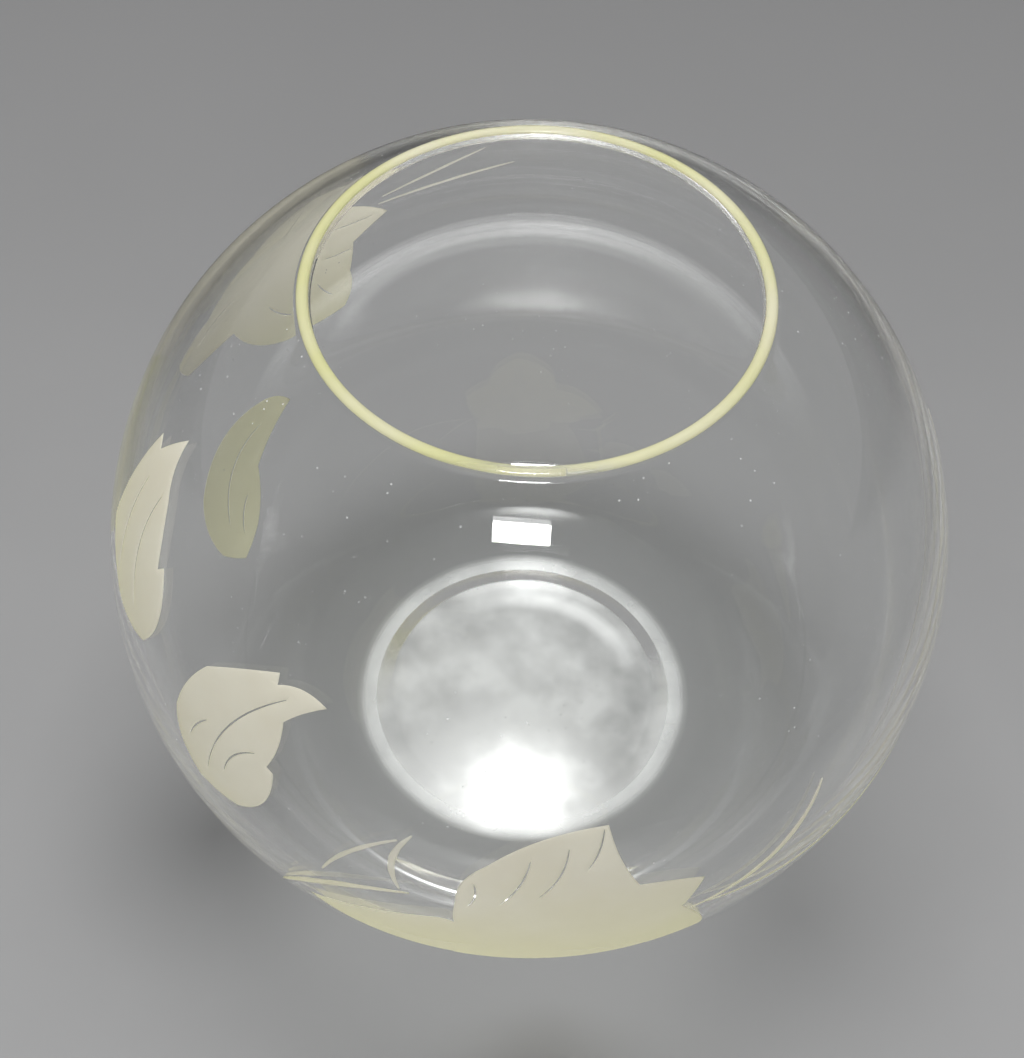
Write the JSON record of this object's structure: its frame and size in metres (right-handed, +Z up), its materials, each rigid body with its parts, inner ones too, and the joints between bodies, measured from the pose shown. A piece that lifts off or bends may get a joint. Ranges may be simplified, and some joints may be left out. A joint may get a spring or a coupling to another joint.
{
  "type": "rose bowl vase",
  "caption": "Ball-shaped clear glass rose bowl vase with a rolled yellow-banded lip, a flattened foot, and a satin enamel vine of leaves, stems and tendrils on its outside.",
  "frame": {"origin": "centre of the foot, on the surface the bowl stands on", "axes": "+Z up through the middle of the mouth, -Y towards the big leaf, +X to the right seen from that side"},
  "size_m": [0.152, 0.1521, 0.1294],
  "materials": {
    "clear_glass": "clear polished soda-lime glass",
    "satin_enamel": "fired pale cream satin enamel, see-through only as a glow",
    "rim_enamel": "fired pale yellow gloss enamel"
  },
  "bodies": {
    "root": {"bowl": "clear_glass", "rim_band": "rim_enamel", "leaf_front": "satin_enamel", "leaf_front_left": "satin_enamel", "leaf_left": "satin_enamel", "leaf_back_left": "satin_enamel", "leaf_low_left": "satin_enamel", "stem_right": "satin_enamel", "stem_long": "satin_enamel", "stem_left": "satin_enamel", "tendril_upright": "satin_enamel", "tendril_trailing": "satin_enamel", "stem_back": "satin_enamel", "tendril_back": "satin_enamel"}
  },
  "joints": []
}
